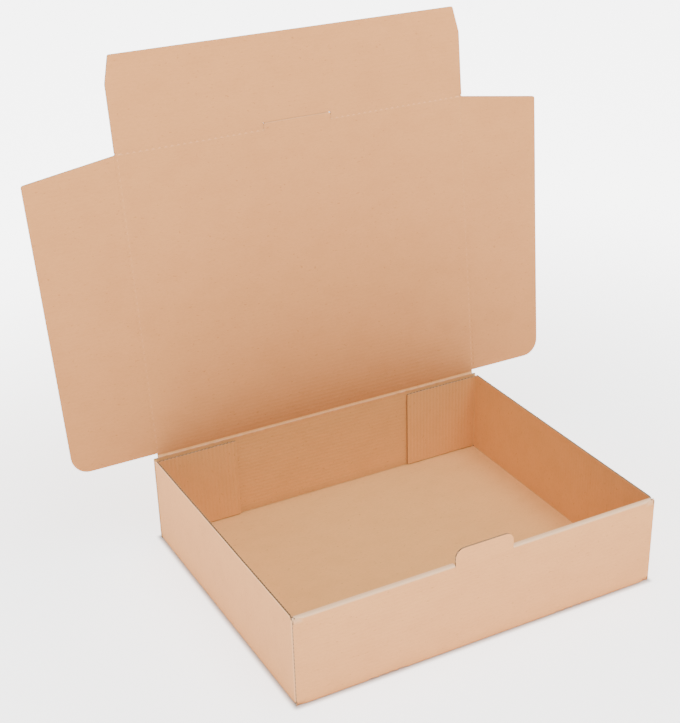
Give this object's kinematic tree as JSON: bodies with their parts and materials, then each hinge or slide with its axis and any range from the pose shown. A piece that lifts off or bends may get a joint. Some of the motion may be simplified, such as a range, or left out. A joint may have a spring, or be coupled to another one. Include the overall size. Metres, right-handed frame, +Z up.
{
  "type": "folding cardboard mailing box",
  "caption": "Shallow die-cut corrugated mailing box with a hinged lid, two side wings and a front tuck flap, shown open.",
  "frame": {"origin": "middle of the underside of the tray, on the surface that the box stands on", "axes": "+X to the right along the front wall, +Y from the front wall to the hinge at the back, +Z up"},
  "size_m": [0.4458, 0.2862, 0.3896],
  "materials": {
    "tray_board": "matt brown kraft liner over fine flutes",
    "lid_board": "matt brown kraft liner over fine flutes"
  },
  "bodies": {
    "tray": {"tray": "tray_board"},
    "lid": {"lid": "lid_board"},
    "tuck_flap": {"tuck_flap": "lid_board"},
    "left_wing": {"left_wing": "lid_board"},
    "right_wing": {"right_wing": "lid_board"}
  },
  "joints": [
    {"name": "lid_hinge", "type": "hinge", "parent": "tray", "child": "lid", "pos_m": [0, 0.12525, 0.07505], "axis": [-1, 0, 0], "range_deg": [-96.2, 83.8]},
    {"name": "tuck_fold", "type": "hinge", "parent": "lid", "child": "tuck_flap", "pos_m": [0, 0.15174, 0.31892], "axis": [1, 0, 0], "range_deg": [0, 90]},
    {"name": "left_wing_fold", "type": "hinge", "parent": "lid", "child": "left_wing", "pos_m": [-0.14995, 0.12525, 0.07505], "axis": [0, 0.108, 0.9942], "range_deg": [0, 90]},
    {"name": "right_wing_fold", "type": "hinge", "parent": "lid", "child": "right_wing", "pos_m": [0.14995, 0.12525, 0.07505], "axis": [0, -0.108, -0.9942], "range_deg": [0, 90]}
  ]
}
